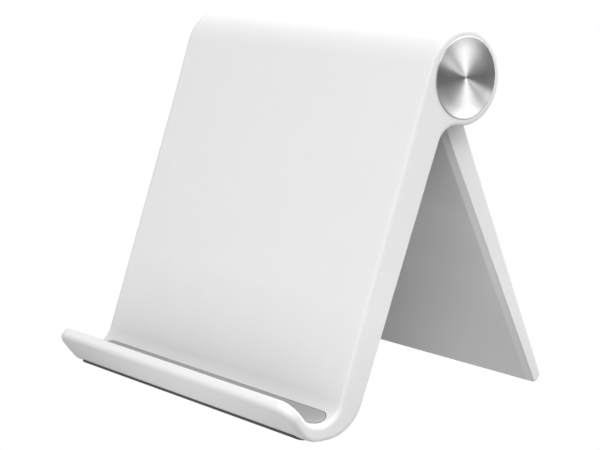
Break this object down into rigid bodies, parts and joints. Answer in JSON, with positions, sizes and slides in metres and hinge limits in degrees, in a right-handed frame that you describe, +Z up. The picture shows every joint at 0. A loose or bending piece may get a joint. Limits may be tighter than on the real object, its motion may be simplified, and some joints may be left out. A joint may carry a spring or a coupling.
{
  "type": "tablet stand",
  "caption": "Folding tablet stand: a leaning front plate with a padded hook along its foot, and a rear leg on friction hinges inside the barrel at the top.",
  "frame": {"origin": "middle of the bottom of the bounding box, on the table the stand rests on, as drawn in the open pose", "axes": "+X across the stand along the hinge, -Y towards the person using it, +Z up"},
  "size_m": [0.1004, 0.0964, 0.0975],
  "materials": {
    "white_plastic": "moulded ABS, white, fine satin grain",
    "silicone": "light grey silicone, matt",
    "rubber": "dark grey rubber, matt",
    "spun_aluminium": "spun face with bright chamfered rim",
    "foam_tape": "double-sided foam tape",
    "zinc": "die-cast zinc, dull",
    "steel": "plain steel",
    "acetal": "natural acetal, slightly waxy"
  },
  "bodies": {
    "plate": {"front_plate": "white_plastic", "back_panel": "white_plastic", "hook_pad": "silicone", "front_foot_strip": "rubber", "end_cap_left": "spun_aluminium", "cap_tape_left": "foam_tape", "hinge_flange_left": "zinc", "hinge_shaft_left": "steel", "friction_washer_left": "acetal", "friction_disc_left": "acetal", "outer_disc_spring_left": "steel", "inner_disc_spring_left": "steel", "thrust_washer_left": "steel", "lock_nut_left": "steel", "end_cap_right": "spun_aluminium", "cap_tape_right": "foam_tape", "hinge_flange_right": "zinc", "hinge_shaft_right": "steel", "friction_washer_right": "acetal", "friction_disc_right": "acetal", "outer_disc_spring_right": "steel", "inner_disc_spring_right": "steel", "thrust_washer_right": "steel", "lock_nut_right": "steel"},
    "leg": {"leg_shell": "white_plastic", "leg_cover": "white_plastic", "leg_foot_pad": "rubber", "hinge_cup_left": "zinc", "hinge_cup_right": "zinc"}
  },
  "joints": [
    {"name": "leg_hinge", "type": "hinge", "parent": "plate", "child": "leg", "pos_m": [0, 0.00819, 0.08553], "axis": [1, 0, 0], "range_deg": [-46, 54]}
  ]
}
